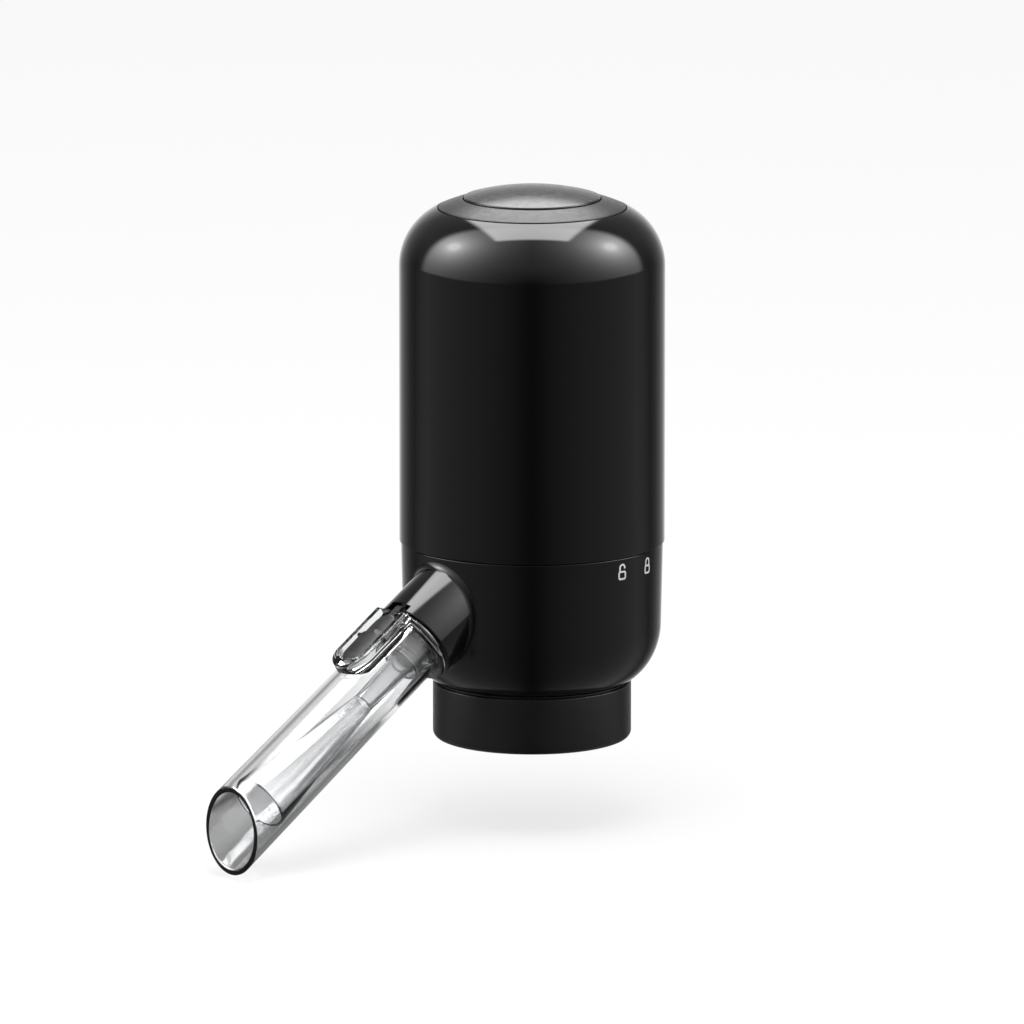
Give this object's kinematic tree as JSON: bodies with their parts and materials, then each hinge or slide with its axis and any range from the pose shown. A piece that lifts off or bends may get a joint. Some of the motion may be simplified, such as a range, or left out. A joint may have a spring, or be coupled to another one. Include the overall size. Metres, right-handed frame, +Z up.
{
  "type": "electric wine decanter",
  "caption": "Powered pouring head for a wine bottle: domed upright body with a top push button, twist-off upper casing, round collar and a slanted clear spout.",
  "frame": {"origin": "centre of the collar's lower rim, on the body's axis, where the bottle's neck enters", "axes": "+Z up along the body's axis; -Y the way the slanted spout leaves; +X level, to the right of someone who looks along +Y at the spout"},
  "size_m": [0.062, 0.1259, 0.1494],
  "materials": {
    "gloss_black": "polished",
    "satin_black": "satin",
    "button_black": "soft gloss",
    "clear_plastic": "clear",
    "frosted_plastic": "translucent",
    "rubber": "matt",
    "silicone": "milky",
    "grey_plastic": "moulded",
    "steel": "bright",
    "brass": "bright",
    "magnet": "matt",
    "copper": "enamelled winding",
    "board_green": "lacquered",
    "cell_sleeve": "printed sleeve",
    "wire_red": "soft",
    "wire_black": "soft"
  },
  "bodies": {
    "base": {"lower_casing": "gloss_black", "collar_ring": "satin_black", "collar_screw_1": "steel", "collar_screw_2": "steel", "collar_screw_3": "steel", "bottle_seal": "rubber", "inlet_nipple": "grey_plastic", "air_nipple": "grey_plastic", "air_check_valve": "rubber", "nozzle": "gloss_black", "nozzle_core": "satin_black", "spout_o_ring": "rubber", "chassis_plate": "grey_plastic", "chassis_screw_1": "steel", "chassis_screw_2": "steel", "chassis_screw_3": "steel", "chassis_screw_4": "steel", "pump_head": "satin_black", "pump_body": "grey_plastic", "motor_can": "steel", "motor_magnets": "magnet", "motor_cap": "satin_black", "battery_holder": "satin_black", "battery_cell_1": "cell_sleeve", "battery_cell_2": "cell_sleeve", "battery_cell_3": "cell_sleeve", "battery_cell_4": "cell_sleeve", "contact_upper_1": "brass", "contact_lower": "brass", "contact_upper_2": "brass", "board_tower": "grey_plastic", "control_board": "board_green", "board_screw_1": "steel", "board_screw_2": "steel", "tact_switch": "satin_black", "motor_wire_red": "wire_red", "motor_wire_black": "wire_black", "wine_tube": "silicone", "air_tube": "silicone"},
    "housing": {"upper_casing": "gloss_black", "cap_ring": "satin_black", "button_retainer": "grey_plastic", "return_pad": "rubber"},
    "button": {"power_button": "button_black"},
    "spout": {"spout_tube": "clear_plastic", "aerator_tube": "frosted_plastic", "pour_funnel": "clear_plastic"},
    "latch": {"latch_rocker": "satin_black"},
    "rotor": {"motor_armature": "copper", "motor_shaft": "steel", "pump_crank": "brass"}
  },
  "joints": [
    {"name": "housing_twist", "type": "hinge", "parent": "base", "child": "housing", "pos_m": [0, 0, 0], "axis": [0, 0, -1], "range_deg": [0, 18]},
    {"name": "button_press", "type": "slide", "parent": "housing", "child": "button", "axis": [0, 0, -1], "range_m": [0, 0.0012], "stiffness_N_per_m": 1500, "springref_m": -0.0005, "deforming": ["return_pad"]},
    {"name": "spout_pull", "type": "slide", "parent": "base", "child": "spout", "axis": [0, -0.8434, -0.5373], "range_m": [0, 0.025]},
    {"name": "latch_press", "type": "hinge", "parent": "spout", "child": "latch", "pos_m": [0, -0.05127, 0.0307], "axis": [1, 0, 0], "range_deg": [0, 3], "stiffness_Nm_per_rad": 0.5, "springref_deg": -1.72},
    {"name": "motor_spin", "type": "hinge", "parent": "base", "child": "rotor", "pos_m": [0.0085, 0.01049, 0], "axis": [0, 0, 1], "continuous": true}
  ]
}
